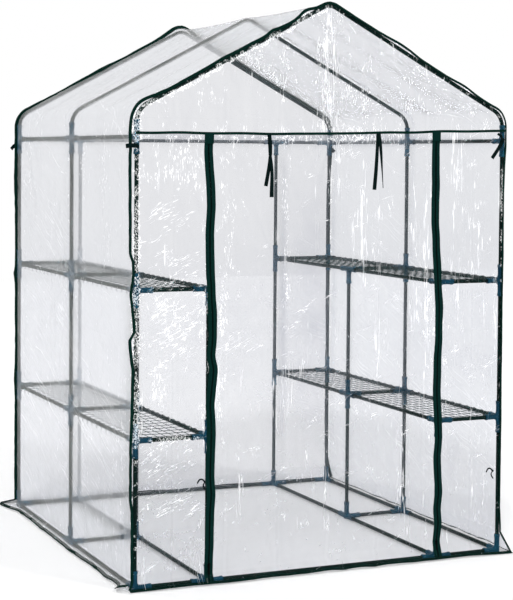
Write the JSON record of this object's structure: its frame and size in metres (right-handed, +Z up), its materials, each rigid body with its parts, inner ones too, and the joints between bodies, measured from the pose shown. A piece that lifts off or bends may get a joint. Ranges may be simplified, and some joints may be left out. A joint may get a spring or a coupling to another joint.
{
  "type": "walk-in plastic greenhouse",
  "caption": "Walk-in greenhouse: push-fit tube frame under a clear film cover, with mesh shelves along both sides and a zipped roll-up door.",
  "frame": {"origin": "on the ground at the middle of the plan", "axes": "+Z up, -Y towards the door, +X to the right of someone facing the back wall from outside the door"},
  "size_m": [1.521, 1.521, 1.9529],
  "materials": {
    "coated_tube": "dark green powder coat, satin",
    "connector_plastic": "moulded steel-blue plastic, fine grain",
    "coated_wire": "dark green coated wire",
    "clear_film": "clear, faintly milky, creased film",
    "zip_tape": "woven dark green tape with black coil teeth",
    "binding_tape": "woven dark green edge binding, stitched",
    "ribbon": "dark green woven ribbon"
  },
  "bodies": {
    "root": {"post_front_left": "coated_tube", "post_front_right": "coated_tube", "post_middle_left": "coated_tube", "post_middle_right": "coated_tube", "post_back_left": "coated_tube", "post_back_right": "coated_tube", "inner_posts_left": "coated_tube", "inner_posts_right": "coated_tube", "roof_hoop_front": "coated_tube", "roof_hoop_middle": "coated_tube", "roof_hoop_back": "coated_tube", "base_bar_front": "coated_tube", "base_bar_back": "coated_tube", "base_rails_left": "coated_tube", "base_rails_right": "coated_tube", "lower_shelf_rails_left": "coated_tube", "lower_shelf_rails_right": "coated_tube", "upper_shelf_rails_left": "coated_tube", "upper_shelf_rails_right": "coated_tube", "eave_rail_left": "coated_tube", "eave_rail_right": "coated_tube", "eave_bar_back": "coated_tube", "base_connectors": "connector_plastic", "lower_shelf_connectors": "connector_plastic", "upper_shelf_connectors": "connector_plastic", "eave_connectors": "connector_plastic", "lower_mesh_left": "coated_wire", "lower_mesh_right": "coated_wire", "upper_mesh_left": "coated_wire", "upper_mesh_right": "coated_wire", "cover_wall_left": "clear_film", "cover_wall_right": "clear_film", "cover_roof_left": "clear_film", "cover_roof_right": "clear_film", "cover_wall_back": "clear_film", "cover_front_gable": "clear_film", "cover_front_left": "clear_film", "cover_front_right": "clear_film", "door_panel": "clear_film", "door_zip_left": "zip_tape", "door_zip_right": "zip_tape", "front_eave_seam": "binding_tape", "front_piping": "binding_tape", "back_piping": "binding_tape", "hem_binding": "binding_tape", "door_ties": "ribbon", "corner_ties": "ribbon"}
  },
  "joints": []
}
